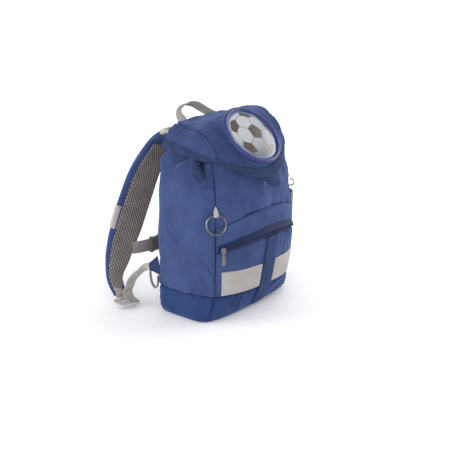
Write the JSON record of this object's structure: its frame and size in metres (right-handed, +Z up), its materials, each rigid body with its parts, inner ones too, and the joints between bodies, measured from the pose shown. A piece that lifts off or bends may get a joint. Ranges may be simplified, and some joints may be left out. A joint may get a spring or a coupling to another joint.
{
  "type": "kids backpack",
  "caption": "Soft child's backpack with a flap lid, round padded emblem, zipped front pocket, mesh side pocket, carry handle, padded shoulder straps and a fastened chest strap.",
  "frame": {"origin": "middle of the base's flat underside, on the floor", "axes": "+Z up; -Y is the front with the zipped pocket, +Y the back with the shoulder straps, and -X the left as seen from the front"},
  "size_m": [0.296, 0.2479, 0.3125],
  "materials": {
    "canvas": "matt woven cloth",
    "hem_canvas": "matt woven cloth",
    "blue_webbing": "ribbed webbing",
    "piping": "smooth coated piping",
    "print": "gloss printed film",
    "grey_webbing": "ribbed webbing",
    "taupe_mesh": "spacer mesh",
    "taupe_webbing": "ribbed webbing",
    "reflective": "retroreflective tape",
    "grey_plastic": "satin",
    "dark_plastic": "satin",
    "zip_tape": "woven tape with coil teeth",
    "steel": "bright nickel plate"
  },
  "bodies": {
    "root": {"base_tray": "canvas", "sack_front": "canvas", "sack_back": "canvas", "sack_left": "canvas", "sack_right": "canvas", "pocket_front": "canvas", "pocket_zip_band": "zip_tape", "pocket_top_band": "canvas", "zip_puller": "grey_plastic", "pocket_stripe_left": "reflective", "pocket_stripe_right": "reflective", "pocket_webbing": "blue_webbing", "side_pocket_mesh": "taupe_mesh", "side_pocket_hem": "taupe_webbing", "lid_crown": "canvas", "lid_gusset_left": "canvas", "lid_gusset_right": "canvas", "lid_hem": "hem_canvas", "lid_tab": "blue_webbing", "emblem_pad": "piping", "emblem_ring": "piping", "emblem_disc": "print", "carry_handle": "grey_webbing", "strap_shell_left": "canvas", "strap_shell_right": "canvas", "strap_mesh_left": "taupe_mesh", "strap_mesh_right": "taupe_mesh", "strap_reflector_left": "reflective", "strap_reflector_right": "reflective", "strap_root_tape_left": "grey_webbing", "strap_root_tape_right": "grey_webbing", "ladder_lock_left": "grey_plastic", "ladder_lock_right": "grey_plastic", "wing_tab_left": "canvas", "wing_tab_right": "canvas", "lower_webbing_left": "grey_webbing", "lower_webbing_right": "grey_webbing", "tail_loop_left": "grey_webbing", "tail_loop_right": "grey_webbing", "chest_web_left": "taupe_webbing", "chest_web_right": "taupe_webbing", "chest_socket": "dark_plastic", "chest_plug": "dark_plastic", "seam_loop_left": "grey_webbing", "seam_loop_right": "grey_webbing", "key_ring": "steel"}
  },
  "joints": []
}
